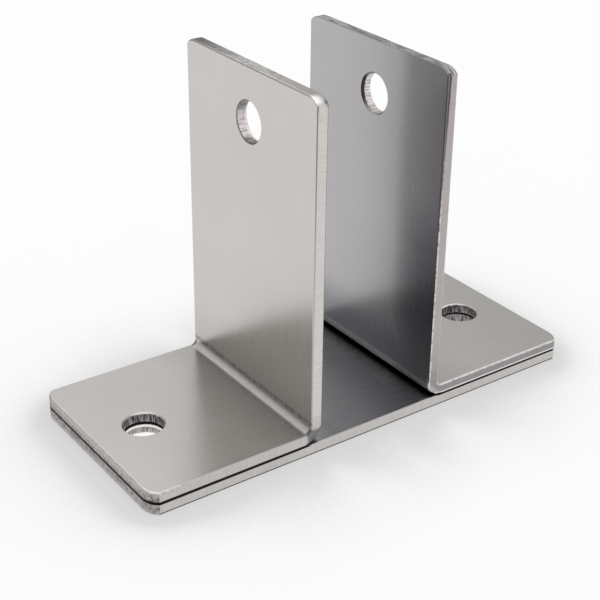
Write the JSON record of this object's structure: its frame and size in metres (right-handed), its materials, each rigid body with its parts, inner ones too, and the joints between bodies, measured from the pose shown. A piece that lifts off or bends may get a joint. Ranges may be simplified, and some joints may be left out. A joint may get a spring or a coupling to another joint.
{
  "type": "wall bracket",
  "caption": "Flat base plate for a wall with upright facing ears on bent feet, which hold the edge of a partition panel between them. Screw holes in the feet, bolt holes in the ears.",
  "frame": {"origin": "under the middle of the base plate, on the face that goes against the wall", "axes": "+X along the bracket, across the panel's thickness; +Y across the strip, towards the rear edge in the picture; +Z away from the wall, towards the tops of the ears"},
  "size_m": [0.1212, 0.0508, 0.0856],
  "materials": {
    "plate_steel": "satin brushed along the bracket",
    "angle_steel": "satin brushed along the strip"
  },
  "bodies": {
    "root": {"base_plate": "plate_steel", "left_angle": "angle_steel", "right_angle": "angle_steel"}
  },
  "joints": []
}
